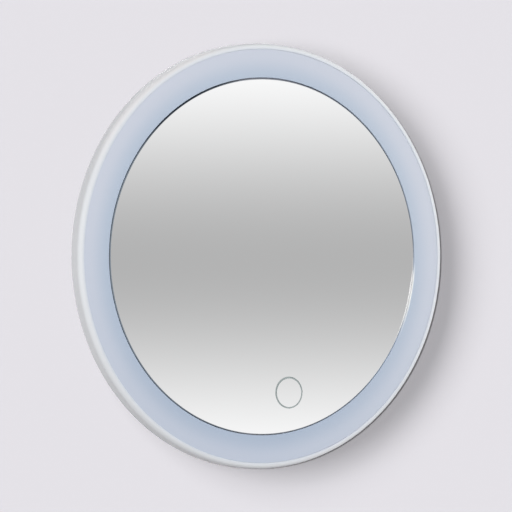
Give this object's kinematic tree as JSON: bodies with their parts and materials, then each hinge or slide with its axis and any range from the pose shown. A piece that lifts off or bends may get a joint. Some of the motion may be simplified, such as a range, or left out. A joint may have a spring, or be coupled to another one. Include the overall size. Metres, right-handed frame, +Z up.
{
  "type": "lighted makeup mirror",
  "caption": "Round wall-hung makeup mirror with an opal light ring, a touch switch etched in the glass and a battery hub behind.",
  "frame": {"origin": "middle of the round mirror, on the flat back of the hub that stands against the wall", "axes": "+Y points into the wall, the glass faces -Y, +Z is up and +X is to the right of someone who looks into the glass"},
  "size_m": [0.25, 0.026, 0.25],
  "materials": {
    "rim_plastic": "satin white moulding",
    "opal": "frosted opal sheet, pale blue when unlit",
    "mirror": "silvered glass",
    "foam_tape": "matt foam",
    "shell_plastic": "fine spark texture",
    "screw_steel": "zinc plated",
    "white_board": "white solder mask",
    "lamp": "phosphor under clear resin",
    "chip_black": "moulded epoxy",
    "pad_rubber": "matt",
    "cell_sleeve": "printed sleeve with bare ends",
    "contact_steel": "nickel plated",
    "green_board": "green solder mask",
    "coil_copper": "enamelled copper wire on ferrite",
    "capacitor_can": "drawn can",
    "socket_plastic": "natural nylon",
    "lead_red": "soft sleeve",
    "lead_grey": "soft sleeve"
  },
  "bodies": {
    "mirror": {"front_frame": "rim_plastic", "diffuser_ring": "opal", "mirror_glass": "mirror", "mirror_tape": "foam_tape", "mirror_carrier": "shell_plastic", "carrier_screws": "screw_steel", "led_board": "white_board", "leds": "lamp", "led_resistors": "chip_black", "rear_shell": "shell_plastic", "shell_screws": "screw_steel", "wall_pads": "pad_rubber", "battery_cell_1": "cell_sleeve", "battery_cell_2": "cell_sleeve", "battery_cell_3": "cell_sleeve", "battery_cell_4": "cell_sleeve", "battery_springs": "contact_steel", "contact_plates": "contact_steel", "control_board": "green_board", "control_chip": "chip_black", "power_coil": "coil_copper", "capacitors": "capacitor_can", "wire_sockets": "socket_plastic", "board_screws": "screw_steel", "touch_board": "green_board", "touch_chip": "chip_black", "touch_tape": "foam_tape", "battery_leads": "lead_red", "led_leads": "lead_red", "touch_lead": "lead_grey"},
    "door": {"battery_door": "shell_plastic"}
  },
  "joints": [
    {"name": "battery_door_hinge", "type": "hinge", "parent": "mirror", "child": "door", "pos_m": [0, -0.0016, -0.0086], "axis": [1, 0, 0], "range_deg": [0, 90]}
  ]
}
